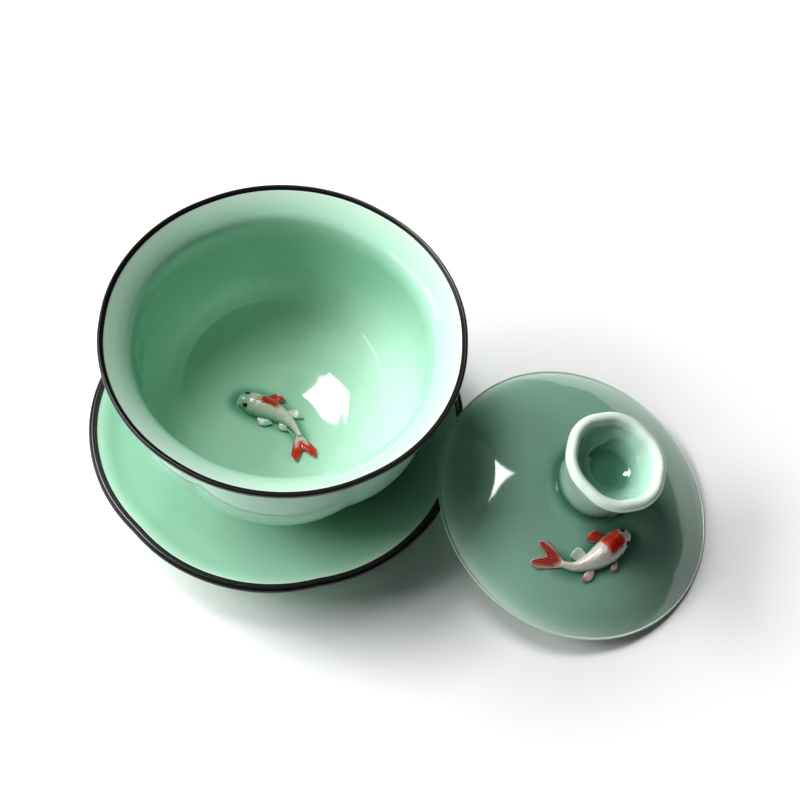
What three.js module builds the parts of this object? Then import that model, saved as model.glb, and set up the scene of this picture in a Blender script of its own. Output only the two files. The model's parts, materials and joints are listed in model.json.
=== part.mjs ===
// Gaiwan: a lidded tea bowl on its saucer, in celadon-glazed porcelain with iron-black lips.
// The bowl stands in the saucer's well. The lid is off, and leans on the saucer's rim with its
// lower edge on the table. Millimetres, +Z up, z = 0 on the table, and the origin in the middle
// of the whole setting's footprint.
import * as THREE from 'three';

// ---- driving dimensions --------------------------------------------------------------------

const lobes = 6;
const steps = 48;                 // facets round a turned piece, a whole number for each lobe
const gap = 0.3;                  // clearance between pieces that touch

const saucerX = -38.6;            // the saucer's axis, left of the middle of the footprint
const saucerRadius = 55.8;
const saucerLip = 17.0;           // top of the saucer's lip above the table
const saucerBand = 2.5;           // width of the black band on the saucer
const saucerNotch = 0.8;          // how deep the lip dips between two lobes
const saucerTurn = 22;            // degrees from +X to the middle of a lobe
const saucerFoot = 29.0;          // outer radius of the saucer's foot ring
const wellFloor = 6.3;            // height of the well that the bowl's foot stands in
const wellRadius = 26.2;

const bowlSeat = [1.1, 1.0];      // the bowl stands this far off the saucer's axis
const bowlRadius = 50.0;
const bowlHeight = 56.9;
const bowlBand = 1.3;             // width of the black band on the bowl's lip
const bowlNotch = 1.9;            // depth of the folds between the lobes at the belly
const bowlLipNotch = 0.25;        // and at the lip
const bowlTurn = 36;
const bowlFoot = 23.5;
const footWidth = 3.0;
const bowlFootHeight = 5.0;

const lidRadius = 43.0;
const lidRise = 15.5;             // crown of the dome above the plane of its edge
const lidWall = 2.6;
const lidLean = 12.5;             // degrees that the lid's axis leans out from the saucer
const lidTurn = -12;              // degrees from +X to the way that it leans
const lidCentre = [90.9, -7.9];   // the edge's centre from the saucer's axis
const knobTop = 32.4;             // top of the knob above the plane of the lid's edge
const knobRadius = 15.3;
const knobWaist = 10.3;
const knobNotch = 1.1;
const knobTurn = 36.5;

const degrees = Math.PI / 180;

// ---- glazes and clay -----------------------------------------------------------------------

const fired = (colour, roughness) =>
  new THREE.MeshStandardMaterial({ color: colour, roughness, metalness: 0 });
const celadon = fired(0x8cc4a4, 0.08);
const ironBlack = fired(0x14120f, 0.18);
const bareClay = fired(0xd9cfc0, 0.75);
const koiWhite = fired(0xe6d9d2, 0.15);
const koiRed = fired(0xc23a20, 0.15);

// ---- helpers -------------------------------------------------------------------------------

const point = (r, z) => new THREE.Vector2(r, z);

// A smooth run of points through the given ones, ends kept.
const smooth = (points, divisions) => new THREE.SplineCurve(points).getPoints(divisions);

// Height of a run of (radius, height) points at a radius.
function heightAt(points, radius) {
  const outer = points.findIndex((candidate) => candidate.x >= radius);
  if (outer <= 0) return points[0].y;
  const [a, b] = [points[outer - 1], points[outer]];
  return a.y + ((b.y - a.y) * (radius - a.x)) / (b.x - a.x);
}

// A profile of (radius, height) points turned about +Z. The points run counter-clockwise.
function turned(profile) {
  const geometry = new THREE.LatheGeometry(profile, steps);
  return geometry.rotateX(Math.PI / 2);
}

// How far between two lobes an angle lies: 0 in the middle of a lobe and 1 in the fold.
const fold = (angle) => (1 - Math.abs(Math.cos((lobes / 2) * angle))) ** 1.3;

// Draws a turned piece in at its folds, by depth(height, radius) there.
function foldIn(geometry, depth) {
  const at = geometry.attributes.position;
  for (let i = 0; i < at.count; i += 1) {
    const radius = Math.hypot(at.getX(i), at.getY(i));
    if (radius < 1e-6) continue;
    const angle = Math.atan2(at.getY(i), at.getX(i));
    const shrink = 1 - (depth(at.getZ(i), radius) * fold(angle)) / radius;
    at.setXY(i, at.getX(i) * shrink, at.getY(i) * shrink);
  }
  return geometry;
}

const ramp = (value, from, to) => THREE.MathUtils.smoothstep(value, from, to);

function piece(name, geometry, material) {
  const mesh = new THREE.Mesh(geometry, material);
  mesh.name = name;
  return mesh;
}

// A plain ring of rectangular section, as a turned foot is.
const footRing = (outer, bottom, top) =>
  turned([
    point(outer - footWidth, bottom),
    point(outer - 0.4, bottom),
    point(outer, bottom + 0.6),
    point(outer, top),
    point(outer - footWidth, top),
    point(outer - footWidth, bottom),
  ]);

// A glazed lip: a ring rounded over the top, from inner to outer radius.
const lipRing = (inner, outer, top, depth) =>
  turned([
    point(inner, top - depth),
    point(outer - 0.2, top - depth),
    point(outer, top - depth / 2),
    point(outer - (outer - inner) * 0.25, top - 0.15),
    point((inner + outer) / 2, top),
    point(inner + (outer - inner) * 0.2, top - 0.15),
    point(inner, top - depth / 2),
    point(inner, top - depth),
  ]);

// ---- saucer --------------------------------------------------------------------------------

const saucerUnder = 3.8;          // underside of the dish inside its foot ring
const saucerBandDepth = 1.9;

function saucerPieces() {
  const inner = saucerRadius - saucerBand;
  const under = saucerUnder;
  const edge = saucerLip - saucerBandDepth - gap;
  const profile = [
    point(0, under),
    point(saucerFoot + 0.8, under),
    ...smooth([point(37, 5.6), point(46, 9.4), point(52.6, 12.6),
      point(saucerRadius - 0.3, edge - 0.5)], 6),
    point(saucerRadius - 0.5, edge),
    point(inner - gap, edge),
    point(inner - gap, saucerLip - 0.9),
    ...smooth([point(inner - 1.6, saucerLip - 1.2), point(46, 12.6), point(38, 9.4),
      point(wellRadius + 1, 7.6)], 7),
    point(wellRadius, wellFloor),
    point(0, wellFloor),
  ];
  const inFold = (z, r) => saucerNotch * ramp(r, 32, saucerRadius - 2);
  return [
    piece('saucer_dish', foldIn(turned(profile), inFold), celadon),
    piece('saucer_foot_ring', footRing(saucerFoot, 0, under - gap), bareClay),
    piece('saucer_rim_band',
      foldIn(lipRing(inner, saucerRadius, saucerLip, saucerBandDepth), inFold), ironBlack),
  ];
}

// ---- bowl ----------------------------------------------------------------------------------

const bowlUnder = bowlFootHeight + gap;
const bowlBandDepth = 1.4;
const bowlFloor = 7.6;            // inside bottom of the bowl above its foot
const bowlInsideSteps = 15;

// The inside of the bowl from the middle of its floor to its lip, heights from the foot.
const bowlInside = new THREE.SplineCurve([
  point(0, bowlFloor), point(11, bowlFloor + 0.5), point(21.5, 10.1), point(30.6, 14.4),
  point(36.6, 20.0), point(40, 27), point(41.2, 34), point(40.4, 41), point(39.5, 46.6),
  point(41.0, 50.6), point(44.4, 53.8),
  point(bowlRadius - bowlBand - gap, bowlHeight - 0.6),
]);

const bowlOutside = new THREE.SplineCurve([
  point(bowlFoot + 1.2, bowlUnder), point(32.6, 11.0), point(39.2, 17.6), point(42.6, 24.6),
  point(43.7, 32), point(42.9, 40), point(42.1, 46), point(43.8, 50.4), point(46.6, 53.2),
  point(bowlRadius - 0.6, bowlHeight - bowlBandDepth - gap),
]);

function bowlPieces() {
  const edge = bowlHeight - bowlBandDepth - gap;
  const inner = bowlRadius - bowlBand;
  const profile = [
    point(0, bowlUnder),
    ...bowlOutside.getPoints(12),
    point(inner - gap, edge),
    ...bowlInside.getPoints(bowlInsideSteps).reverse(),
  ];
  const belly = (z, r) => ramp(z, 8, 20) * (1 - ramp(z, 34, 54)) * ramp(r, 20, 36);
  const inFold = (z, r) => bowlLipNotch * ramp(r, 20, 40) + (bowlNotch - bowlLipNotch) * belly(z, r);
  const lipFold = () => bowlLipNotch;
  return [
    piece('bowl_body', foldIn(turned(profile), inFold), celadon),
    piece('bowl_foot_ring', footRing(bowlFoot, 0, bowlFootHeight), bareClay),
    piece('bowl_rim_band',
      foldIn(lipRing(inner, bowlRadius, bowlHeight, bowlBandDepth), lipFold), ironBlack),
  ];
}

// ---- lid -----------------------------------------------------------------------------------

// A dome of the lid at a distance from its axis, a cap of a sphere.
const capRadius = (lidRadius ** 2 + lidRise ** 2) / (2 * lidRise);
const domeTop = (r) => lidRise - capRadius + Math.sqrt(capRadius ** 2 - r ** 2);
const domeUnder = (r) => domeTop(r) - lidWall;

function lidPieces() {
  const knobFoot = 11.5;
  const seat = domeTop(knobFoot);
  const outer = [42.2, 39, 34, 28, 22, 16, knobFoot + 0.6].map((r) => point(r, domeTop(r)));
  const under = [0, 9, 18, 26, 33, 38.5].map((r) => point(r, domeUnder(r)));
  const profile = [
    ...under,
    point(lidRadius - 1.6, 0.1),
    point(lidRadius - 0.8, 0),
    point(lidRadius, 0.6),
    ...outer,
    point(knobFoot + 0.5, seat - gap),
    point(0, seat - gap),
  ];
  const cup = 9.5;                // depth of the knob's cup
  const knob = [
    point(0, seat),
    point(knobFoot, seat),
    ...smooth([point(knobWaist + 0.3, seat + 1.8), point(knobWaist, seat + 5), point(11.4, seat + 9.6),
      point(14.2, knobTop - 4.4)], 6),
    point(knobRadius, knobTop - 2.2),
    point(knobRadius - 0.8, knobTop - 0.4),
    point(knobRadius - 2.0, knobTop),
    point(knobRadius - 3.2, knobTop - 0.8),
    ...smooth([point(11.2, knobTop - 2.6), point(9.4, knobTop - 5.6), point(6.0, knobTop - cup + 0.8),
      point(0, knobTop - cup)], 6),
  ];
  const inFold = (z, r) => knobNotch * ramp(z, seat + 3, knobTop - 3) * ramp(r, 6, 12);
  const top = piece('lid_knob', foldIn(turned(knob), inFold), celadon);
  top.rotation.z = knobTurn * degrees;
  return [piece('lid_dome', turned(profile), celadon), top];
}

// ---- koi -----------------------------------------------------------------------------------

// A small koi modelled by hand and luted onto a surface. Its spine is a curve over the surface's
// plan, from the snout to the root of the tail. Its underside follows the surface.
const koiHalfWidth = 3.9;
const koiHeight = 4.2;
const koiTailLength = 8.6;
const koiTailSpread = 4.6;
const koiFins = [
  { name: 'pectoral_fin', at: 0.36, length: 4.8, width: 3.0, sweep: 42 },
  { name: 'pelvic_fin', at: 0.72, length: 4.8, width: 2.8, sweep: 36 },
];
const finThickness = 0.9;

// Half the width of the body as a share of its widest, from 0 at the snout to 1 at the tail.
function koiTaper(t) {
  const nose = Math.sqrt(1 - (1 - Math.min(t / 0.3, 1)) ** 2);
  return nose * (1 - 0.76 * ramp(t, 0.3, 1));
}

function koiBody(spine) {
  const geometry = new THREE.SphereGeometry(1, 12, 12);
  const at = geometry.attributes.position;
  for (let i = 0; i < at.count; i += 1) {
    const t = Math.acos(THREE.MathUtils.clamp(at.getY(i), -1, 1)) / Math.PI;
    const ring = Math.hypot(at.getX(i), at.getZ(i));
    const across = ring > 1e-4 ? (at.getX(i) / ring) * koiHalfWidth * koiTaper(t) : 0;
    const up = ring > 1e-4 ? Math.max(0, at.getZ(i) / ring) * koiHeight * koiTaper(t) ** 0.7 : 0;
    const middle = spine.getPointAt(t);
    const along = spine.getTangentAt(t);
    at.setXYZ(i, middle.x - along.y * across, middle.y + along.x * across, up);
  }
  return geometry;
}

// A flat outline as a plate, lying where its root is and pointing along its heading.
function plate(outline, root, heading) {
  const options = { depth: finThickness, bevelEnabled: false, curveSegments: 4 };
  const geometry = new THREE.ExtrudeGeometry(outline, options);
  return geometry.rotateZ(heading).translate(root.x, root.y, 0);
}

function finOutline(length, width) {
  const leaf = new THREE.Shape();
  leaf.moveTo(0, -width * 0.2);
  leaf.quadraticCurveTo(length * 0.6, -width * 0.6, length, -width * 0.1);
  leaf.quadraticCurveTo(length * 0.7, width * 0.5, 0, width * 0.25);
  leaf.closePath();
  return leaf;
}

function tailOutline(length, spread) {
  const fork = new THREE.Shape();
  fork.moveTo(0, -0.7);
  fork.quadraticCurveTo(length * 0.5, -spread * 0.5, length, -spread);
  fork.quadraticCurveTo(length * 0.85, -spread * 0.35, length * 0.6, 0);
  fork.quadraticCurveTo(length * 0.85, spread * 0.35, length, spread);
  fork.quadraticCurveTo(length * 0.5, spread * 0.5, 0, 0.7);
  fork.closePath();
  return fork;
}

function koiPieces(owner, spine, surface, redSide) {
  const lay = (name, geometry, colour) => {
    const at = geometry.attributes.position;
    for (let i = 0; i < at.count; i += 1) {
      const radius = Math.hypot(at.getX(i), at.getY(i));
      at.setZ(i, surface(radius) + gap + at.getZ(i));
    }
    return piece(`${owner}_koi_${name}`, geometry, colour);
  };
  const end = spine.getPointAt(1);
  const back = spine.getTangentAt(1);
  const tailRoot = end.clone().addScaledVector(back, gap + 0.1);
  const tailHeading = Math.atan2(back.y, back.x);
  const pieces = [
    lay('body', koiBody(spine), koiWhite),
    lay('tail_fin', plate(tailOutline(koiTailLength, koiTailSpread), tailRoot, tailHeading), koiRed),
  ];
  // The tangent points from snout to tail, so its left is the fish's own right side.
  for (const side of ['right', 'left']) {
    const left = side === 'right' ? 1 : -1;
    for (const { name, at, length, width, sweep } of koiFins) {
      const middle = spine.getPointAt(at);
      const along = spine.getTangentAt(at);
      const out = new THREE.Vector2(-along.y, along.x).multiplyScalar(left);
      const clear = koiHalfWidth * koiTaper(at) + gap + width * 0.3;
      const root = middle.addScaledVector(out, clear);
      const heading = Math.atan2(along.y, along.x) + left * sweep * degrees;
      const colour = name === 'pectoral_fin' && side === redSide ? koiRed : koiWhite;
      pieces.push(lay(`${side}_${name}`, plate(finOutline(length, width), root, heading), colour));
    }
  }
  return pieces;
}

const lidKoiSpine = new THREE.SplineCurve([
  point(15.4, -10.1), point(12.9, -13.0), point(10.4, -17.6),
  point(7.2, -22.2), point(3.4, -25.4), point(-0.6, -26.3),
]);
const bowlKoiSpine = new THREE.SplineCurve([
  point(-14.4, 2.6), point(-11.6, 3.2), point(-6.9, 2.6),
  point(-2.0, 1.2), point(2.6, -1.4), point(5.9, -5.2),
]);

// ---- the setting ---------------------------------------------------------------------------

const gaiwan = new THREE.Group();

const saucer = new THREE.Group();
saucer.position.set(saucerX, 0, 0);
saucer.rotation.z = saucerTurn * degrees;
saucer.add(...saucerPieces());

const bowl = new THREE.Group();
bowl.position.set(saucerX + bowlSeat[0], bowlSeat[1], wellFloor + gap);
const pot = new THREE.Group();
pot.rotation.z = bowlTurn * degrees;
pot.add(...bowlPieces());
const floorPoints = bowlInside.getPoints(bowlInsideSteps);
bowl.add(pot, ...koiPieces('bowl', bowlKoiSpine, (r) => heightAt(floorPoints, r), 'right'));

const lid = new THREE.Group();
const lidLow = (lidRadius - 0.8) * Math.sin(lidLean * degrees);
lid.position.set(saucerX + lidCentre[0], lidCentre[1], lidLow);
lid.rotation.set(0, lidLean * degrees, lidTurn * degrees, 'ZYX');
lid.add(...lidPieces(), ...koiPieces('lid', lidKoiSpine, domeTop, 'left'));

gaiwan.add(saucer, bowl, lid);

export default gaiwan;
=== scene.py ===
import json
import math
import bmesh
import bpy
from mathutils import Matrix, Vector


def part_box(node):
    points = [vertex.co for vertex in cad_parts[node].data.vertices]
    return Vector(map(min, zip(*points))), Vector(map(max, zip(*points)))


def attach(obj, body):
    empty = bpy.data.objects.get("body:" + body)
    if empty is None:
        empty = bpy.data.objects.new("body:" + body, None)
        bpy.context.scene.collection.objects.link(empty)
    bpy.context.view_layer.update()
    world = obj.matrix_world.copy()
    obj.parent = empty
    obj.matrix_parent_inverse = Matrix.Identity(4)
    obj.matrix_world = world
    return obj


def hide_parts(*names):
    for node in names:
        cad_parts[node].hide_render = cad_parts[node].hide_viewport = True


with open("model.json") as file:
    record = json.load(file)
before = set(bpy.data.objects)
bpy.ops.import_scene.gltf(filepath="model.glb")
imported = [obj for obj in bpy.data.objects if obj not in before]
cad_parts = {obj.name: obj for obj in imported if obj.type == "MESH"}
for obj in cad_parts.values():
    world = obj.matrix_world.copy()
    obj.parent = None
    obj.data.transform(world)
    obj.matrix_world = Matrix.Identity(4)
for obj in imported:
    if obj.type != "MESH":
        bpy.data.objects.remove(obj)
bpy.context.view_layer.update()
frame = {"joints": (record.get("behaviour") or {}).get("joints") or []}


# ---- saucer dish ---------------------------------------------------------------------------
# A shallow dish of white porcelain, thrown and then pressed over a six-lobed mould, with a
# sunken well for the bowl's foot. It is dipped in celadon: a clear blue-green glaze that runs
# thin and pale over edges, and lies thick and dark in hollows.

MM = 0.001  # lines and sizes are in millimetres, and meshes in metres


def through(points, between=8):
    """A smooth line through (radius, height, glaze) points."""
    line = []
    for i in range(len(points) - 1):
        a, b = points[max(i - 1, 0)], points[i]
        c, d = points[i + 1], points[min(i + 2, len(points) - 1)]
        for j in range(between):
            t = j / between
            line.append(tuple(
                0.5 * (2 * q + (r - p) * t + (2 * p - 5 * q + 4 * r - s) * t * t
                       + (3 * q - p - 3 * r + s) * t ** 3)
                for p, q, r, s in zip(a, b, c, d)))
    return line + [tuple(points[-1])]


def ramp(value, low, high):
    """0 below low, 1 above high, and smooth from one to the other."""
    t = min(max((value - low) / (high - low), 0.0), 1.0)
    return t * t * (3 - 2 * t)


def node(tree, kind, settings=None, **sockets):
    """A node of a Geometry Nodes tree. Sockets are named, with _ for a space, or by number, as
    s0."""
    made = tree.nodes.new(kind)
    for key, value in (settings or {}).items():
        setattr(made, key, value)
    for key, value in sockets.items():
        number = key[1:].isdigit() and key[0] == "s"
        socket = made.inputs[int(key[1:]) if number else key.replace("_", " ")]
        if isinstance(value, bpy.types.NodeSocket):
            tree.links.new(value, socket)
        else:
            socket.default_value = value
    return made


def lobed_turning():
    """The tree that turns a line about +Z and draws it in at the folds between lobes."""
    fold_sharpness = 1.3
    weld_distance = 2e-6
    tree = bpy.data.node_groups.new("lobed_turning", "GeometryNodeTree")
    face = tree.interface
    for label, kind, value in (("Profile", "Geometry", None), ("Lobes", "Int", 6),
                               ("Around", "Int", 288), ("Along", "Int", 2),
                               ("Softness", "Float", 0.004), ("Clay", "Material", None)):
        socket = face.new_socket(label, in_out="INPUT", socket_type="NodeSocket" + kind)
        if value is not None:
            socket.default_value = value
    face.new_socket("Ware", in_out="OUTPUT", socket_type="NodeSocketGeometry")
    given = tree.nodes.new("NodeGroupInput").outputs

    def math_of(operation, *values):
        inputs = {f"s{i}": v for i, v in enumerate(values)}
        return node(tree, "ShaderNodeMath", {"operation": operation}, **inputs).outputs[0]

    grid = node(tree, "GeometryNodeMeshGrid", Size_X=1.0, Size_Y=1.0, Vertices_X=given["Along"],
                Vertices_Y=math_of("ADD", given["Around"], 1.0))
    where = tree.nodes.new("GeometryNodeInputPosition").outputs[0]
    cell = node(tree, "ShaderNodeSeparateXYZ", s0=where)
    last = math_of("SUBTRACT", given["Along"], 1.0)
    place = math_of("ROUND", math_of("MULTIPLY", math_of("ADD", cell.outputs[0], 0.5), last))
    angle = math_of("MULTIPLY", math_of("ADD", cell.outputs[1], 0.5), 2 * math.pi)

    def of_profile(kind, value):
        sample = node(tree, "GeometryNodeSampleIndex", {"data_type": kind, "domain": "POINT"},
                      Geometry=given["Profile"], Index=place)
        tree.links.new(value, sample.inputs["Value"])
        return sample.outputs[0]

    def named(label):
        return node(tree, "GeometryNodeInputNamedAttribute", {"data_type": "FLOAT"},
                    Name=label).outputs["Attribute"]

    point = node(tree, "ShaderNodeSeparateXYZ", s0=of_profile("FLOAT_VECTOR", where))
    crest = math_of("COSINE", math_of("MULTIPLY", angle, math_of("DIVIDE", given["Lobes"], 2.0)))
    soft = math_of("SQRT", math_of("ADD", math_of("MULTIPLY", crest, crest), given["Softness"]))
    fold = math_of("POWER", math_of("MAXIMUM", math_of("SUBTRACT", 1.0, soft), 0.0),
                   fold_sharpness)
    draw = of_profile("FLOAT", named("draw_in"))
    radius = math_of("SUBTRACT", point.outputs[0], math_of("MULTIPLY", draw, fold))
    turned = node(tree, "ShaderNodeCombineXYZ",
                  s0=math_of("MULTIPLY", radius, math_of("COSINE", angle)),
                  s1=math_of("MULTIPLY", radius, math_of("SINE", angle)), s2=point.outputs[2])
    kept = node(tree, "GeometryNodeStoreNamedAttribute", {"data_type": "FLOAT", "domain": "POINT"},
                Geometry=grid.outputs[0], Name="glaze")
    tree.links.new(of_profile("FLOAT", named("glaze")), kept.inputs["Value"])
    moved = node(tree, "GeometryNodeSetPosition", Geometry=kept.outputs[0],
                 Position=turned.outputs[0])
    closed = node(tree, "GeometryNodeMergeByDistance", Geometry=moved.outputs[0],
                  Distance=weld_distance)
    real = node(tree, "GeometryNodeRealizeInstances", Geometry=closed.outputs[0])
    done = node(tree, "GeometryNodeSetMaterial", Geometry=real.outputs[0], Material=given["Clay"])
    out = tree.nodes.new("NodeGroupOutput")
    tree.links.new(done.outputs[0], out.inputs["Ware"])
    return tree


TURNING = lobed_turning()


def finish_piece(ware, body, slot, *replaced):
    """Smooth-shades a piece, sends its faces outwards and ties it to its body."""
    shell = bmesh.new()
    shell.from_mesh(ware.data)
    bmesh.ops.recalc_face_normals(shell, faces=shell.faces)
    for face in shell.faces:
        face.smooth = True
    shell.to_mesh(ware.data)
    shell.free()
    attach(ware, body)
    for name in replaced:
        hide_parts(name)


def turn(name, line, placing, clay, draw_in=lambda radius, height: 0.0, around=288,
         softness=0.004):
    """A turned and lobed piece. line holds (radius, height, glaze) in millimetres, and draw_in
    says how far its folds are drawn in at a radius and height."""
    profile = bpy.data.meshes.new(name + "_line")
    profile.from_pydata([(r * MM, 0, z * MM) for r, z, _ in line],
                        [(i, i + 1) for i in range(len(line) - 1)], [])
    for label, values in (("draw_in", [draw_in(r, z) * MM for r, z, _ in line]),
                          ("glaze", [min(max(g, 0.0), 1.0) for _, _, g in line])):
        kept = profile.attributes.new(label, "FLOAT", "POINT")
        kept.data.foreach_set("value", values)
    maker = bpy.data.objects.new(name + "_line", profile)
    bpy.context.scene.collection.objects.link(maker)
    wheel = maker.modifiers.new("turning", "NODES")
    wheel.node_group = TURNING
    sizes = {"Around": around, "Along": len(line), "Softness": softness, "Clay": clay}
    for item in TURNING.interface.items_tree:
        if item.in_out == "INPUT" and item.name in sizes:
            wheel[item.identifier] = sizes[item.name]
    graph = bpy.context.evaluated_depsgraph_get()
    mesh = bpy.data.meshes.new_from_object(maker.evaluated_get(graph), depsgraph=graph)
    bpy.data.objects.remove(maker)
    mesh.transform(placing)
    mesh.materials.clear()
    mesh.materials.append(clay)
    ware = bpy.data.objects.new(name, mesh)
    bpy.context.scene.collection.objects.link(ware)
    return ware


class Wire:
    """A socket in a material. Sums on it add Math nodes, and add() adds any other node."""

    def __init__(self, socket):
        self.socket = socket

    def add(self, kind, settings=None, inputs=None, output=0):
        tree = self.socket.id_data
        made = tree.nodes.new(kind)
        for key, value in (settings or {}).items():
            if key == "stops":
                elements = made.color_ramp.elements
                while len(elements) < len(value):
                    elements.new(0.5)
                for stop, (position, colour) in zip(elements, value):
                    stop.position = position
                    stop.color = (*colour, 1.0)
            else:
                setattr(made, key, value)
        for key, value in (inputs or {}).items():
            if isinstance(value, Wire):
                tree.links.new(value.socket, made.inputs[key])
            else:
                made.inputs[key].default_value = value
        return Wire(made.outputs[output])

    def maths(self, operation, *values):
        return self.add("ShaderNodeMath", {"operation": operation}, dict(enumerate(values)))

    def __add__(self, other):
        return self.maths("ADD", self, other)

    def __sub__(self, other):
        return self.maths("SUBTRACT", self, other)

    def __rsub__(self, other):
        return self.maths("SUBTRACT", other, self)

    def __mul__(self, other):
        return self.maths("MULTIPLY", self, other)

    __radd__ = __add__
    __rmul__ = __mul__

    def __abs__(self):
        return self.maths("ABSOLUTE", self)

    def sine(self):
        return self.maths("SINE", self)

    def or_more(self, other):
        return self.maths("MAXIMUM", self, other)

    def between(self, low, high):
        """0 below low, 1 above high, and smooth from one to the other."""
        return self.add("ShaderNodeMapRange", {"interpolation_type": "SMOOTHSTEP"},
                        {"Value": self, "From Min": low, "From Max": high})

    def mix(self, below, above):
        """A colour from below to above, by this factor."""
        return self.add("ShaderNodeMix", {"data_type": "RGBA"}, {0: self, 6: below, 7: above},
                        output=2)


def new_finish(name, **constants):
    """A material, its shader with constants set, and a wire of its Object coordinates."""
    made = bpy.data.materials.new(name)
    made.use_nodes = True
    shader = made.node_tree.nodes["Principled BSDF"]
    for key, value in constants.items():
        shader.inputs[key.replace("_", " ")].default_value = value
    place = made.node_tree.nodes.new("ShaderNodeTexCoord")
    return made, shader, Wire(place.outputs["Object"])


def feed(shader, name, wire):
    shader.id_data.links.new(wire.socket, shader.inputs[name])


def attribute(place, name):
    return place.add("ShaderNodeAttribute", {"attribute_name": name}, output="Fac")


def cloud(place, scale, detail=2.0, rough=0.5):
    return place.add("ShaderNodeTexNoise", None,
                     {"Vector": place, "Scale": scale, "Detail": detail, "Roughness": rough})


def celadon(name, thin, usual, thick):
    """Clear celadon over porcelain: paler where the glaze attribute is low, darker where high."""
    made, shader, place = new_finish(name, Roughness=0.06, IOR=1.5, Coat_Weight=0.35,
                                     Coat_Roughness=0.03)
    drift = cloud(place, 28.0, 3.0) - 0.5
    fine = cloud(place, 900.0, 2.0) - 0.5
    depth = attribute(place, "glaze") + drift * 0.10 + fine * 0.03
    bare_white = (0.80, 0.86, 0.80)
    stops = [(0.0, bare_white), (0.22, thin), (0.6, usual), (1.0, thick)]
    feed(shader, "Base Color", depth.add("ShaderNodeValToRGB", {"stops": stops}, {0: depth}))
    feed(shader, "Roughness", 0.05 + cloud(place, 160.0) * 0.05)
    skin = cloud(place, 420.0, 1.0) * 0.4 + cloud(place, 90.0, 1.0)
    feed(shader, "Normal", skin.add("ShaderNodeBump", None,
                                    {"Strength": 0.035, "Distance": 0.0004, "Height": skin}))
    return made


CELADON = celadon("celadon_glaze_ware", (0.55, 0.77, 0.62), (0.42, 0.70, 0.54), (0.12, 0.37, 0.22))


def middle(node_name):
    low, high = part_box(node_name)
    return (low + high) / 2


saucer_axis = middle("saucer_foot_ring")
saucer_turn = math.radians(22)  # the way its first lobe points
saucer_place = (Matrix.Translation((saucer_axis.x, saucer_axis.y, 0))
                @ Matrix.Rotation(saucer_turn, 4, "Z"))
saucer_radius = 55.8
saucer_well = 6.3


def saucer_draw(radius, height):
    return 0.8 * ramp(radius, 32, saucer_radius - 2)


saucer_line = (
    [(0, 3.8, 0.6), (14, 3.8, 0.6), (27.5, 3.8, 0.6), (29.2, 3.8, 0.75)]
    + through([(29.6, 3.85, 0.8), (31.5, 4.1, 0.7), (37, 5.6, 0.6), (46, 9.4, 0.6),
               (52.6, 12.6, 0.55), (55.0, 14.7, 0.3), (55.6, 15.7, 0.1), (55.45, 16.4, 0.1),
               (54.6, 16.65, 0.1), (53.4, 16.35, 0.05), (52.4, 15.95, 0.3), (50.6, 15.1, 0.55),
               (46, 12.6, 0.6), (38, 9.4, 0.6), (31, 7.85, 0.6), (28, 7.5, 0.6),
               (26.6, 7.05, 0.6), (25.7, 6.5, 0.75), (24.6, saucer_well, 0.7)], 9)
    + [(18, saucer_well, 0.65), (9, saucer_well, 0.65), (0, saucer_well, 0.65)])
saucer_dish = turn("saucer_dish_glazed", saucer_line, saucer_place, CELADON, saucer_draw)
finish_piece(saucer_dish, "saucer", "celadon_glaze", "saucer_dish")


# ---- saucer foot ring ----------------------------------------------------------------------
# The ring that the saucer stands on, turned from the same clay when leather-hard. Glaze covers
# its sides, and its edge is wiped bare so that it doesn't stick to the kiln shelf.

def bare_clay():
    made, shader, place = new_finish("bare_fired_porcelain", IOR=1.45)
    grain = cloud(place, 1600.0, 3.0, 0.6)
    flash = cloud(place, 60.0, 2.0).between(0.35, 0.75)
    glazed = attribute(place, "glaze").between(0.25, 0.45)
    clay = flash.mix((0.72, 0.66, 0.57, 1), (0.62, 0.50, 0.38, 1))
    feed(shader, "Base Color", glazed.mix(clay, (0.30, 0.62, 0.43, 1)))
    feed(shader, "Roughness", 0.08 + (1 - glazed) * (0.55 + grain * 0.2))
    feed(shader, "Normal", grain.add("ShaderNodeBump", None, {
        "Strength": 0.25, "Distance": 0.0002, "Height": grain * (1 - glazed)}))
    return made


BARE_CLAY = bare_clay()


def foot_ring(name, node_name, placing, top, body):
    """A foot ring, its inner and outer walls glazed down to the bare, rounded edge."""
    low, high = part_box(node_name)
    outer = (high.x - low.x) / 2 / MM
    ring_width = 3.0
    inner = outer - ring_width
    line = through([(inner + 0.1, top, 0.9), (inner, 1.9, 0.8), (inner + 0.05, 1.2, 0.3),
                    (inner + 0.3, 0.5, 0.0), (inner + 0.8, 0.06, 0.0), (inner + 1.4, 0.0, 0.0),
                    (outer - 1.0, 0.0, 0.0), (outer - 0.4, 0.12, 0.0), (outer - 0.08, 0.6, 0.0),
                    (outer, 1.3, 0.3), (outer, 2.0, 0.8), (outer - 0.05, top, 0.9)], 6)
    line.append(line[0])
    ring = turn(name, line, placing, BARE_CLAY, around=192)
    finish_piece(ring, body, "bare_porcelain", node_name)


foot_ring("saucer_foot_ring_wiped", "saucer_foot_ring", saucer_place, 3.7, "saucer")


# ---- saucer lip band -----------------------------------------------------------------------
# The lip is dipped once more in an iron-rich glaze that fires to a glossy black with a brown
# cast where it is thin. It is a skin over the lip, and ends in a soft bead.

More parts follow.
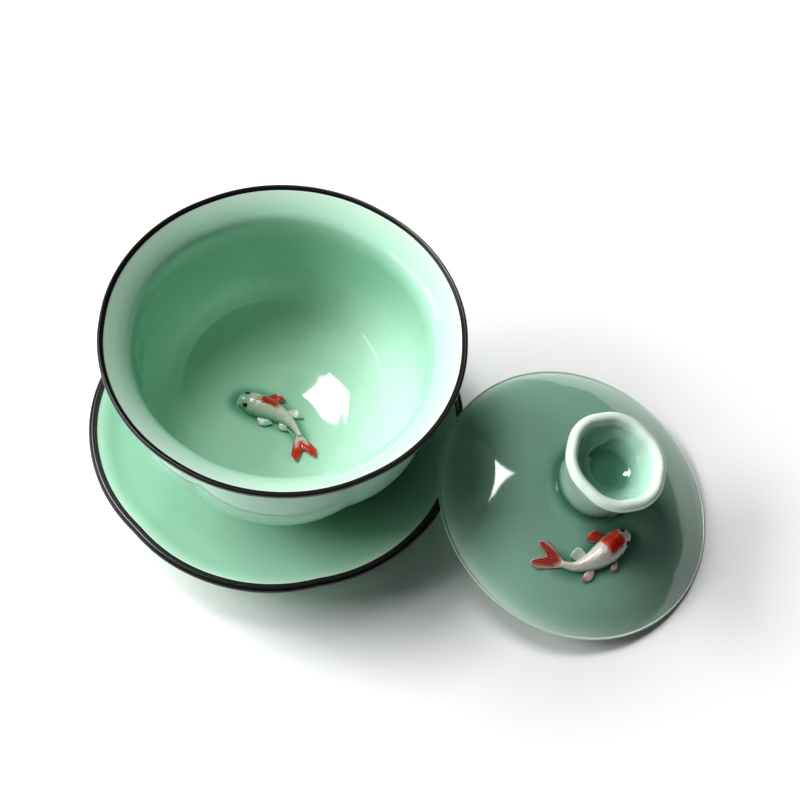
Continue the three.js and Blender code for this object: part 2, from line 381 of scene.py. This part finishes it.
def iron_glaze():
    made, shader, place = new_finish("iron_black_lip_glaze", IOR=1.5, Coat_Weight=0.3,
                                     Coat_Roughness=0.08)
    run = cloud(place, 240.0, 3.0)
    thinness = 1 - attribute(place, "glaze")
    rust = (cloud(place, 700.0, 2.0) * 0.5 + thinness * 0.6).between(0.45, 0.85)
    feed(shader, "Base Color", rust.mix((0.013, 0.012, 0.012, 1), (0.055, 0.034, 0.022, 1)))
    feed(shader, "Roughness", 0.22 + run * 0.18)
    feed(shader, "Normal", run.add("ShaderNodeBump", None, {
        "Strength": 0.12, "Distance": 0.0004, "Height": run}))
    return made


IRON_GLAZE = iron_glaze()


def lip_band(name, node_name, placing, line, draw_in, body):
    line = through(line, 8)
    line.append(line[0])
    band = turn(name, line, placing, IRON_GLAZE, draw_in, around=432)
    finish_piece(band, body, "iron_black_glaze", node_name)


lip_band("saucer_lip_band_glazed", "saucer_rim_band", saucer_place, [
    (53.3, 16.3, 0.3), (53.45, 16.62, 0.6), (54.0, 16.88, 1.0), (54.8, 16.98, 1.0),
    (55.45, 16.7, 1.0), (55.78, 16.1, 1.0), (55.75, 15.55, 0.6), (55.5, 15.2, 0.3),
    (55.1, 15.6, 0.5), (54.4, 16.1, 0.5), (53.8, 16.1, 0.5)], saucer_draw, "saucer")


# ---- bowl ----------------------------------------------------------------------------------
# The bowl is thrown, then pressed to six lobes below its neck. Its lip flares so that it can
# be held hot. The glaze is thin and nearly white on the flare and thick in the deep belly.
# Inside, the belly's darker glaze is partly painted shade under the neck.

bowl_axis = middle("bowl_foot_ring")
bowl_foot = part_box("bowl_foot_ring")[0].z
bowl_turn = math.radians(36)
bowl_seat = Matrix.Translation((bowl_axis.x, bowl_axis.y, bowl_foot))
bowl_place = bowl_seat @ Matrix.Rotation(bowl_turn, 4, "Z")
bowl_floor_line = [(0, 7.6), (11, 8.1), (21.5, 10.1), (30.6, 14.4), (36.6, 20.0), (39.8, 27),
                   (40.8, 34), (40.7, 41), (40.5, 46.6)]


def line_height(points):
    """A function that gives the second value of a smooth line at its first, such as a height
    at a radius, from the first rising stretch that holds it."""
    smooth_line = through([(r, z, 0.0) for r, z in points], 8)

    def height(radius):
        for (r0, z0, _), (r1, z1, _) in zip(smooth_line, smooth_line[1:]):
            if r0 <= radius <= r1:
                return z0 + (z1 - z0) * (radius - r0) / max(r1 - r0, 1e-9)
        return smooth_line[0][1]
    return height


bowl_wall = line_height([(z, r) for r, z in bowl_floor_line])


def bowl_draw(radius, height):
    """How far the folds draw the wall in: most at the belly outside, faintly inside."""
    lip_fold, outer_fold, inner_fold = 0.25, 1.65, 0.70
    wall = bowl_wall(height) if height < 46 else 99
    inside = ramp(wall + 1.6 - radius, 0, 0.8)
    start = 8 + 18 * inside
    belly = ramp(height, start, start + 12) * (1 - ramp(height, 34, 54)) * ramp(radius, 20, 36)
    fold = outer_fold - (outer_fold - inner_fold) * inside
    return lip_fold * ramp(height, 40, 52) + fold * belly


# Inside, the wall under the neck is given darker glaze than the floor, and the inner flare is
# darkened a little too: partly the glaze's thickness, partly painted shade where these faces are
# shaded.
bowl_line = (
    [(0, 5.3, 0.6), (12, 5.3, 0.6), (20.3, 5.3, 0.7), (23.3, 5.3, 0.85)]
    + through([(23.9, 5.35, 0.9), (25.4, 5.9, 0.75), (28.4, 7.8, 0.6), (32.6, 11.0, 0.6),
               (39.2, 17.6, 0.6), (42.6, 24.6, 0.6), (43.7, 32, 0.6), (42.9, 40, 0.6),
               (42.1, 46, 0.6), (43.8, 50.4, 0.5), (46.6, 53.2, 0.4), (48.6, 54.7, 0.15),
               (49.5, 55.6, 0.05), (49.72, 56.1, 0.0), (49.5, 56.5, 0.0), (49.0, 56.55, 0.0),
               (48.3, 56.1, 0.14), (46.6, 55.1, 0.26), (44.4, 53.7, 0.42), (42.4, 52.1, 0.56),
               (41.3, 50.4, 0.64), (40.6, 47.6, 0.67), (40.5, 44.8, 0.70), (40.7, 40.6, 0.70),
               (40.8, 34, 0.67), (39.8, 27, 0.61), (36.6, 20.0, 0.49), (30.6, 14.4, 0.46),
               (21.5, 10.1, 0.45), (16, 8.9, 0.45), (11, 8.1, 0.45), (7.5, 7.8, 0.45),
               (4, 7.65, 0.45)], 8)
    + [(0, 7.6, 0.45)])


def pool_round(ware, outline, up, reach=4.4):
    """Glaze that gathers thick and dark against a modelled fish. outline holds (place, half
    width) marks down its middle, and up is the way the glazed surface faces under it."""
    facing_up, gathered = 0.2, 0.97
    glaze = ware.data.attributes["glaze"].data
    for vertex in ware.data.vertices:
        if vertex.normal.dot(up) <= facing_up:
            continue
        away = min((vertex.co - place).length / MM - width for place, width in outline)
        if away < reach:
            held = glaze[vertex.index]
            held.value += (gathered - held.value) * (1 - ramp(away, -0.4, reach))


bowl_body = turn("bowl_body_glazed", bowl_line, bowl_place, CELADON, bowl_draw)
finish_piece(bowl_body, "bowl", "celadon_glaze", "bowl_body")
foot_ring("bowl_foot_ring_wiped", "bowl_foot_ring", bowl_seat, 5.25, "bowl")


# ---- bowl lip band -------------------------------------------------------------------------
# The same iron-black glaze, a narrow line over the bowl's lip and a little way down outside.

lip_band("bowl_lip_band_glazed", "bowl_rim_band", bowl_place, [
    (48.3, 56.02, 0.3), (48.45, 56.3, 0.6), (48.9, 56.7, 1.0), (49.45, 56.88, 1.0),
    (49.88, 56.6, 1.0), (50.0, 56.05, 1.0), (49.85, 55.4, 0.6), (49.5, 55.0, 0.3),
    (49.25, 55.7, 0.5), (48.9, 56.1, 0.5)], lambda radius, height: 0.25, "bowl")


# ---- lid dome ------------------------------------------------------------------------------
# A shallow dome thrown upside down and trimmed, with a plain edge that the glaze has drawn
# back from, so that it is pale. The pale band along the edge is widened as a painted highlight.
# It leans on the saucer, its edge on the table.

lid_axis = Vector(next(j["axis"] for j in frame["joints"] if j["child"] == "lid")).normalized()
lid_radius = 43.0
lid_rise = 15.5
edge_radius = 42.2
edge_height = 0.6
lid_centre = middle("lid_dome") - lid_axis * edge_height * MM
lid_centre.z = edge_radius * MM * math.sqrt(1 - lid_axis.z ** 2)
lean_way = math.atan2(lid_axis.y, lid_axis.x)
lid_place = (Matrix.Translation(lid_centre) @ Matrix.Rotation(lean_way, 4, "Z")
             @ Matrix.Rotation(math.acos(lid_axis.z), 4, "Y"))
cap_radius = (lid_radius ** 2 + lid_rise ** 2) / (2 * lid_rise)
knob_foot = 11.5


def dome(radius):
    return lid_rise - cap_radius + math.sqrt(cap_radius ** 2 - radius ** 2)


lid_under = [(r, dome(r) - 2.6, 0.6) for r in (0, 6, 12, 18, 24, 29, 33, 36.5)]
# The thin, pale glaze by the edge is partly real and partly a painted highlight along the edge.
lid_top = [(r, dome(r), g) for r, g in (
    (42.2, 0.14), (41.2, 0.34), (39.5, 0.53), (37, 0.62), (34, 0.64), (28, 0.66), (22, 0.68),
    (18, 0.7), (15, 0.74), (13.4, 0.82), (12.4, 0.95), (11.6, 1.0))]
lid_line = (through(lid_under + [(39.4, 0.55, 0.5), (40.9, 0.12, 0.3), (41.7, 0.0, 0.15),
                                 (42.4, 0.08, 0.05), (42.85, 0.38, 0.0), (42.9, 0.6, 0.05),
                                 (42.6, 0.78, 0.12)] + lid_top, 9)
            + [(9, dome(knob_foot) - 0.3, 1.0), (0, dome(knob_foot) - 0.3, 1.0)])
# The lid's glaze is the bowl's celadon made darker in its usual and thick colours: painted shade
# for the lid, which lies low and partly in the bowl's shadow.
LID_CELADON = celadon("celadon_glaze_lid", (0.60, 0.80, 0.67), (0.345, 0.57, 0.455),
                      (0.09, 0.25, 0.17))
lid_dome = turn("lid_dome_glazed", lid_line, lid_place, LID_CELADON)
finish_piece(lid_dome, "lid", "celadon_glaze", "lid_dome")


# ---- lid knob ------------------------------------------------------------------------------
# A hollow cup with six soft lobes on a waisted stem, thrown apart from the lid and luted on.
# Upside down, it is the foot that the lid stands on as a small dish.

knob_top = 32.4
seat = dome(knob_foot)
knob_turn = math.radians(36.5)
knob_place = lid_place @ Matrix.Rotation(knob_turn, 4, "Z")


def knob_draw(radius, height):
    return 0.62 * ramp(height, seat + 3, knob_top - 3) * ramp(radius, 6, 12)


# The thin, pale glaze on the stem is partly painted light, for light falling on the stem.
knob_line = (
    [(0, seat, 0.9), (8, seat, 0.9)]
    + through([(11.45, seat + 0.02, 1.0), (11.0, seat + 0.5, 1.0), (10.6, seat + 1.6, 0.5),
               (10.3, seat + 3.4, 0.30), (10.4, seat + 5.4, 0.25), (11.3, seat + 9.4, 0.22),
               (13.0, knob_top - 5.4, 0.20), (14.6, knob_top - 3.4, 0.18),
               (15.3, knob_top - 2.2, 0.16), (15.2, knob_top - 1.1, 0.14),
               (14.5, knob_top - 0.3, 0.11), (13.5, knob_top, 0.10),
               (12.5, knob_top - 0.4, 0.13), (11.6, knob_top - 1.6, 0.30),
               (10.8, knob_top - 3.4, 0.5), (9.4, knob_top - 5.6, 0.65),
               (7.6, knob_top - 7.6, 0.8), (6.1, knob_top - 8.5, 1.0),
               (4.4, knob_top - 9.2, 1.0), (2, knob_top - 9.5, 1.0)], 9)
    + [(0, knob_top - 9.5, 1.0)])
lid_knob = turn("lid_knob_glazed", knob_line, knob_place, LID_CELADON, knob_draw, around=240,
                softness=0.14)
finish_piece(lid_knob, "lid", "celadon_glaze", "lid_knob")


# ---- koi: bodies ---------------------------------------------------------------------------
# A small koi is modelled by hand in white clay and luted on the lid, and another on the bowl's
# floor. Underglaze red goes over the back in patches, then a clear glaze that pools round it.

KOI_HALF_WIDTH = 3.9
KOI_HEIGHT = 4.2


def along_line(points, share):
    """Place and heading at a share of the length of a smooth line over the plan."""
    line = [Vector(p[:2]) for p in through([(x, y, 0.0) for x, y in points], 24)]
    steps = [(b - a).length for a, b in zip(line, line[1:])]
    want = min(max(share, 0.0), 1.0) * sum(steps)
    for a, b, step in zip(line, line[1:], steps):
        if want <= step or b is line[-1]:
            ahead = (b - a).normalized()
            return a + ahead * want, ahead
        want -= step


def koi_taper(t):
    """How full the body is at a share of its length: a blunt head, and a thin root of tail."""
    nose = math.sqrt(max(0.0, 1 - (1 - min(t / 0.3, 1)) ** 2))
    return nose * (1 - 0.76 * ramp(t, 0.3, 1))


def koi_finish(name, patches, cheek, pooled, veil):
    """White clay with soft-edged red patches, each a (from, to, side, width) along the body."""
    made, shader, place = new_finish(name, IOR=1.5, Coat_Weight=0.6, Coat_Roughness=0.03)
    along = attribute(place, "along")
    across = attribute(place, "across")
    wobble = (cloud(place, 520.0, 3.0) - 0.5) * 0.22
    red = None
    for start, end, side, width in patches:
        lengthways = (along + wobble).between(start - 0.04, start + 0.04) * (
            1 - (along + wobble).between(end - 0.05, end + 0.05))
        off = abs(across + wobble * 2.2 - side)
        patch = lengthways * (1 - off.between(width - 0.12, width + 0.12))
        red = patch if red is None else red.or_more(patch)
    speckle = cloud(place, 1100.0, 3.0).between(0.42, 0.72)
    pale = (speckle * 0.55).mix((0.74, 0.71, 0.64, 1), (0.68, 0.47, 0.40, 1))
    ochre = cloud(place, 800.0, 2.0).between(0.5, 0.8)
    vermilion = ochre.mix((0.52, 0.018, 0.006, 1), (0.64, 0.085, 0.025, 1))
    skin = red.mix(pale, vermilion)
    glaze = attribute(place, "veil") * veil
    veiled = glaze.mix(skin, cheek)
    feed(shader, "Base Color", attribute(place, "veil").between(0.72, 1.0).mix(veiled, pooled))
    scales = place.add("ShaderNodeTexVoronoi", {"feature": "DISTANCE_TO_EDGE"},
                       {"Vector": place, "Scale": 950.0})
    feed(shader, "Roughness", 0.10 + speckle * 0.12)
    feed(shader, "Normal", scales.add("ShaderNodeBump", None, {
        "Strength": 0.25, "Distance": 0.0003, "Height": scales.between(0.0, 0.25)}))
    return made


def koi_mesh(name, points, faces, attributes, finish):
    mesh = bpy.data.meshes.new(name)
    mesh.from_pydata(points, [], faces)
    for label, values in attributes.items():
        mesh.attributes.new(label, "FLOAT", "POINT").data.foreach_set("value", values)
    mesh.materials.append(finish)
    fish = bpy.data.objects.new(name, mesh)
    bpy.context.scene.collection.objects.link(fish)
    return fish


def weld(fish, near=2e-6):
    """Joins points that lie on each other, at the poles and tips."""
    shell = bmesh.new()
    shell.from_mesh(fish.data)
    bmesh.ops.remove_doubles(shell, verts=shell.verts, dist=near)
    bmesh.ops.dissolve_degenerate(shell, edges=shell.edges, dist=near)
    shell.to_mesh(fish.data)
    shell.free()


def koi_body(owner, koi):
    """The body: rings from the snout to the root of the tail, its belly sunk in the surface."""
    rings, sides = 72, 40
    points, faces, along_values, across_values, veil_values = [], [], [], [], []
    for i in range(rings + 1):
        t = i / rings
        eased = 0.5 - 0.5 * math.cos(math.pi * t) if t < 0.5 else t
        t = eased * 0.6 + t * 0.4
        place, ahead = along_line(koi["spine"], t)
        side = Vector((-ahead.y, ahead.x))
        taper = koi_taper(t)
        gill = 1 - 0.07 * math.exp(-((t - 0.27) / 0.016) ** 2)
        brow = 1 - 0.10 * math.exp(-((t - 0.10) / 0.05) ** 2)
        for j in range(sides):
            angle = 2 * math.pi * j / sides
            over, out = math.sin(angle), math.cos(angle)
            wide = KOI_HALF_WIDTH * taper * out * (gill if over > 0 else 1.0)
            ridge = 1 + 0.06 * math.exp(-(out / 0.22) ** 2) * ramp(t, 0.25, 0.5)
            tall = (KOI_HEIGHT * taper ** 0.7 * over * brow * gill * ridge if over > 0
                    else 0.5 * over)
            flat = place + side * wide
            points.append(koi["place"] @ (Vector((
                flat.x, flat.y, koi["surface"](flat.length) + tall)) * MM))
            along_values.append(t)
            across_values.append(out)
            low_down = 1 - ramp(over, 0.10, 0.70)
            on_head = koi["head_veil"] * (1 - ramp(t, 0.12, 0.28))
            to_one_side = 0.9 * ramp(out * koi["veiled_side"], 0.30, 0.95)
            veil_values.append(max(low_down, on_head, to_one_side))
    for i in range(rings):
        for j in range(sides):
            k = (j + 1) % sides
            faces.append((i * sides + j, i * sides + k, (i + 1) * sides + k, (i + 1) * sides + j))
    faces.append(tuple(range(sides)))
    faces.append(tuple(rings * sides + j for j in range(sides)))
    fish = koi_mesh(f"{owner}_koi_body_modelled", points, faces, {
        "along": along_values, "across": across_values, "veil": veil_values}, koi["finish"])
    weld(fish, 5e-6)
    finish_piece(fish, owner, "koi_white", f"{owner}_koi_body")


bowl_floor = line_height(bowl_floor_line)
KOI = {
    "lid": {"spine": [(15.4, -10.1), (12.9, -13.0), (10.4, -17.6), (7.2, -22.2), (3.4, -25.4),
                      (-0.6, -26.3)],
            "surface": dome, "place": lid_place,
            "patches": [(0.15, 0.43, -0.35, 0.95)],
            "cheek": (0.34, 0.50, 0.41, 1), "pooled": (0.10, 0.25, 0.17, 1),
            "veil": 0.7, "head_veil": 0.2, "veiled_side": 1, "tail_turn": -11},
    "bowl": {"spine": [(-14.4, 2.6), (-11.6, 3.2), (-6.9, 2.6), (-2.0, 1.2), (2.6, -1.4),
                       (5.9, -5.2)],
             "surface": bowl_floor,
             "place": bowl_seat,
             "patches": [(0.29, 0.54, 0.38, 0.42)],
             "cheek": (0.32, 0.52, 0.40, 1), "pooled": (0.15, 0.40, 0.25, 1),
             "veil": 0.85, "head_veil": 0.8, "veiled_side": -1, "tail_turn": -17},
}
for owner, koi in KOI.items():
    koi["finish"] = koi_finish(f"{owner}_koi_underglaze", koi["patches"], koi["cheek"],
                               koi["pooled"], koi["veil"])
    koi_body(owner, koi)


# ---- koi: eyes -----------------------------------------------------------------------------
# Two touches of iron-black slip on each head, raised like small seeds.

def koi_eye(owner, koi, name, side):
    at, across, rings, sides = 0.125, 0.62, 10, 20
    long, wide, proud, lean = 0.95, 0.65, 0.34, 0.30
    place, ahead = along_line(koi["spine"], at)
    out = Vector((-ahead.y, ahead.x)) * side
    centre = place + out * KOI_HALF_WIDTH * koi_taper(at) * across
    height = koi["surface"](centre.length) + KOI_HEIGHT * koi_taper(at) ** 0.7 * 0.72
    points, faces = [], []
    for i in range(rings + 1):
        tilt = math.pi * i / rings
        for j in range(sides):
            angle = 2 * math.pi * j / sides
            flat = (centre + ahead * long * math.sin(tilt) * math.cos(angle)
                    + out * wide * math.sin(tilt) * math.sin(angle))
            lift = proud * math.cos(tilt) - lean * math.sin(tilt) * math.sin(angle)
            points.append(koi["place"] @ (Vector((flat.x, flat.y, height + lift)) * MM))
    for i in range(rings):
        for j in range(sides):
            k = (j + 1) % sides
            faces.append((i * sides + j, i * sides + k, (i + 1) * sides + k, (i + 1) * sides + j))
    eye = koi_mesh(f"{owner}_koi_{name}_eye", points, faces, {"glaze": [1.0] * len(points)},
                   IRON_GLAZE)
    weld(eye)
    finish_piece(eye, owner, "iron_black_glaze")


for owner, koi in KOI.items():
    koi_eye(owner, koi, "right", 1)
    koi_eye(owner, koi, "left", -1)


# ---- koi: fins -----------------------------------------------------------------------------
# Each fin is a petal of clay pressed thin, with rays drawn in it by a needle. The fins lie on
# the surface and lift a little at their tips.

RAYS = 26.0  # how fast the drawn rays follow each other across a fin


def fin_finish(name, root, tip, rim, low, high):
    """Colour from root to tip, changing between two shares of the length, and a rim."""
    made, shader, place = new_finish(name, IOR=1.5, Coat_Weight=0.6, Coat_Roughness=0.03)
    along = attribute(place, "along")
    across = attribute(place, "across")
    mottle = cloud(place, 700.0, 3.0) - 0.5
    body = (along + mottle * 0.35).between(low, high).mix(root, tip)
    ray = (across * RAYS).sine() * 0.5 + 0.5
    body = (ray * 0.16 + mottle * 0.2).mix(body, rim)
    edge = abs(across).between(0.80, 1.0).or_more(along.between(0.90, 1.0))
    feed(shader, "Base Color", (edge * 0.8).mix(body, rim))
    feed(shader, "Roughness", 0.08 + ray * 0.06)
    feed(shader, "Normal", ray.add("ShaderNodeBump", None, {
        "Strength": 0.12, "Distance": 0.0002, "Height": ray}))
    return made


RED_FIN = fin_finish("fin_red", (0.50, 0.016, 0.006, 1), (0.62, 0.05, 0.02, 1),
                     (0.70, 0.42, 0.34, 1), 0.3, 0.9)
PALE_FIN = fin_finish("fin_pale", (0.68, 0.62, 0.55, 1), (0.38, 0.61, 0.49, 1),
                      (0.62, 0.66, 0.58, 1), 0.15, 0.8)
ROSY_FIN = fin_finish("fin_rosy", (0.66, 0.46, 0.40, 1), (0.34, 0.05, 0.03, 1),
                      (0.66, 0.52, 0.46, 1), 0.55, 1.0)
TAILS = {"lid": fin_finish("tail_dark_red", (0.66, 0.46, 0.38, 1), (0.40, 0.022, 0.012, 1),
                           (0.72, 0.58, 0.52, 1), 0.05, 0.40),
         "bowl": fin_finish("tail_red_tipped", (0.68, 0.62, 0.54, 1), (0.58, 0.025, 0.010, 1),
                            (0.52, 0.10, 0.05, 1), 0.25, 0.62)}


def fin(owner, koi, name, node_name, root, heading, length, outline, finish, slot):
    """A blade of two skins. outline(s, q) gives the share of the length and the way sideways
    of a point that is s of the way to the tip and q across, from -1 to 1."""
    rows, columns, thick, lift, clear = 24, 33, 0.5, 0.5, 0.35
    ahead = Vector((math.cos(heading), math.sin(heading)))
    side = Vector((-ahead.y, ahead.x))
    points, faces, along_values, across_values = [], [], [], []
    for skin in (1, 0):
        for i in range(rows + 1):
            s = i / rows
            for j in range(columns):
                q = 2 * j / (columns - 1) - 1
                reach, spread = outline(s, q)
                flat = root + ahead * length * reach + side * spread
                ridge = 0.06 * math.sin(RAYS * q) * ramp(s, 0.1, 0.4)
                edge = (1 - abs(q) ** 6) * (1 - 0.7 * ramp(s, 0.6, 1.0))
                rise = lift * s * s + clear + (thick + ridge) * edge * skin
                points.append(koi["place"] @ (Vector((
                    flat.x, flat.y, koi["surface"](flat.length) + rise)) * MM))
                along_values.append(s)
                across_values.append(q)
    layer = (rows + 1) * columns
    for i in range(rows):
        for j in range(columns - 1):
            a = i * columns + j
            faces.append((a, a + 1, a + columns + 1, a + columns))
            faces.append((layer + a, layer + a + columns,
                          layer + a + columns + 1, layer + a + 1))
    border = ([i * columns for i in range(rows)]
              + [rows * columns + j for j in range(columns - 1)]
              + [i * columns + columns - 1 for i in range(rows, 0, -1)]
              + [j for j in range(columns - 1, 0, -1)])
    for a, b in zip(border, border[1:] + border[:1]):
        faces.append((a, b, layer + b, layer + a))
    blade = koi_mesh(name, points, faces, {
        "along": along_values, "across": across_values}, finish)
    weld(blade)
    finish_piece(blade, owner, slot, node_name)


def leaf(width, outer):
    """A pointed petal, fuller on its outer edge and curving back towards the body."""
    def outline(s, q):
        spread = width * 0.5 * (0.40 * (1 - s) + math.sin(math.pi * s ** 0.9))
        full = 1.25 if q * outer > 0 else 0.75
        return s, spread * q * full - outer * 0.16 * width * s * s
    return outline


def fork(s, q):
    """Two rounded lobes with pointed tips and a shallow notch between them."""
    lobe = math.sin(min(abs(q) / 0.78, 1.0) * math.pi / 2) ** 1.6
    trim = 0.30 * max(0.0, (abs(q) - 0.78) / 0.22) ** 1.5
    return s * (0.60 + 0.40 * lobe - trim), q * (0.9 + 2.9 * s ** 0.85)


# The share of the body where the fin starts, its length and width, the angle it sweeps out at,
# its finish and its slot.
SIDE_FINS = {("lid", "left", "pectoral"): (0.33, 5.2, 3.0, 40, RED_FIN, "koi_red"),
             ("lid", "right", "pectoral"): (0.34, 3.6, 1.9, 34, ROSY_FIN, "koi_white"),
             ("lid", "left", "pelvic"): (0.66, 4.9, 3.0, 26, PALE_FIN, "koi_white"),
             ("lid", "right", "pelvic"): (0.62, 4.8, 2.2, 22, ROSY_FIN, "koi_white"),
             ("bowl", "right", "pectoral"): (0.36, 5.3, 2.6, 20, RED_FIN, "koi_red"),
             ("bowl", "left", "pectoral"): (0.34, 4.9, 2.7, 12, PALE_FIN, "koi_white"),
             ("bowl", "right", "pelvic"): (0.64, 5.2, 2.6, 20, PALE_FIN, "koi_white"),
             ("bowl", "left", "pelvic"): (0.66, 3.8, 2.0, 16, PALE_FIN, "koi_white")}
for (owner, side_name, kind), (at, length, width, sweep, finish, slot) in SIDE_FINS.items():
    koi = KOI[owner]
    way = 1 if side_name == "right" else -1  # the spine runs snout to tail, so its left is +1
    place, ahead = along_line(koi["spine"], at)
    out = Vector((-ahead.y, ahead.x)) * way
    tucked_in = 0.35
    root = place + out * (KOI_HALF_WIDTH * koi_taper(at) - tucked_in)
    heading = math.atan2(ahead.y, ahead.x) + way * math.radians(sweep)
    piece = f"{owner}_koi_{side_name}_{kind}_fin"
    fin(owner, koi, f"{piece}_pressed", piece, root, heading, length, leaf(width, way), finish,
        slot)
for owner, koi in KOI.items():
    tail_length, overlap = 9.0, 0.6
    end, ahead = along_line(koi["spine"], 1.0)
    heading = math.atan2(ahead.y, ahead.x) + math.radians(koi["tail_turn"])
    fin(owner, koi, f"{owner}_koi_tail_fin_pressed", f"{owner}_koi_tail_fin",
        end - ahead * overlap, heading, tail_length, fork, TAILS[owner], "koi_red")


# ---- koi: the glaze round them -------------------------------------------------------------
# The clear glaze is poured over both fish and runs off them as it melts, so it lies thickest
# and darkest along the line where each one meets the lid or the bowl's floor.

for owner, ware in (("lid", lid_dome), ("bowl", bowl_body)):
    koi = KOI[owner]
    marks = 25
    outline = []
    for i in range(marks):
        t = i / (marks - 1)
        place, _ = along_line(koi["spine"], t)
        spot = Vector((place.x, place.y, koi["surface"](place.length))) * MM
        outline.append((koi["place"] @ spot, KOI_HALF_WIDTH * koi_taper(t)))
    pool_round(ware, outline, koi["place"].to_3x3() @ Vector((0, 0, 1)))


# ---- table, light and camera ---------------------------------------------------------------
# A plain white table in a pale room. A key softbox makes the glaze's highlight, a low strip
# catches the lips, and a wide softbox, which gives most of the light, and a front reflector
# don't show in the glaze. The camera is high over the near side.

half = 1.1
table_mesh = bpy.data.meshes.new("table")
table_mesh.from_pydata([(-half, -half, 0), (half, -half, 0), (half, half, 0), (-half, half, 0)],
                       [], [(0, 1, 2, 3)])
table = bpy.data.objects.new("table", table_mesh)
bpy.context.scene.collection.objects.link(table)
paper, paper_shader, paper_place = new_finish("white_table", Roughness=0.6)
feed(paper_shader, "Base Color",
     cloud(paper_place, 40.0).mix((0.93, 0.93, 0.93, 1), (0.95, 0.95, 0.95, 1)))
table_mesh.materials.append(paper)

world = bpy.data.worlds.new("studio")
world.use_nodes = True
world.node_tree.nodes["Background"].inputs["Color"].default_value = (0.97, 0.99, 1.0, 1)
# The room looks pale behind the table, and adds almost no light of its own.
room_light, room_seen = 0.010, 0.80
room = world.node_tree.nodes["Background"]
camera_ray = Wire(world.node_tree.nodes.new("ShaderNodeLightPath").outputs["Is Camera Ray"])
feed(room, "Strength", room_light + camera_ray * room_seen)
bpy.context.scene.world = world
bpy.context.scene.view_settings.view_transform = "Standard"
bpy.context.scene.view_settings.look = "Medium High Contrast"


def softbox(name, bearing, height, distance, wide, high, watts, seen=True):
    """A rectangular light at a bearing and height in degrees, facing the middle of the
    setting. One that isn't seen lights the ware but is left out of its reflections."""
    lamp = bpy.data.lights.new(name, "AREA")
    lamp.shape = "RECTANGLE"
    lamp.size, lamp.size_y, lamp.energy = wide, high, watts
    compass, climb = math.radians(bearing), math.radians(height)
    toward = Vector((math.cos(climb) * math.cos(compass), math.cos(climb) * math.sin(compass),
                     math.sin(climb)))
    box = bpy.data.objects.new(name, lamp)
    box.location = toward * distance
    box.rotation_euler = (-toward).to_track_quat("-Z", "Y").to_euler()
    box.visible_glossy = seen
    bpy.context.scene.collection.objects.link(box)


away = 2.2
softbox("key_softbox", 144.0, 63.0, away, 0.80, 0.60, 21.0)
softbox("left_softbox", 174.0, 38.0, away, 2.00, 0.70, 53.0, seen=False)
softbox("low_strip", 188.0, 24.0, away, 1.80, 0.62, 8.5)
softbox("front_reflector", -120.0, 50.0, away, 0.9, 0.9, 1.0, seen=False)

view_place = Vector((-3.87, -202.54, 379.64)) * MM
pitch, roll = math.radians(59.33), math.radians(9.07)
lens, sensor = 62.76, 36.0
ahead = Vector((0, math.cos(pitch), -math.sin(pitch)))
up = Vector((0, math.sin(pitch), math.cos(pitch)))
level = Vector((1, 0, 0))
right = level * math.cos(roll) + up * math.sin(roll)
above = up * math.cos(roll) - level * math.sin(roll)
eye = bpy.data.cameras.new("camera")
eye.lens, eye.sensor_width = lens, sensor
camera = bpy.data.objects.new("camera", eye)
camera.matrix_world = Matrix.Translation(view_place) @ Matrix(
    (right, above, -ahead)).transposed().to_4x4()
bpy.context.scene.collection.objects.link(camera)
bpy.context.scene.camera = camera
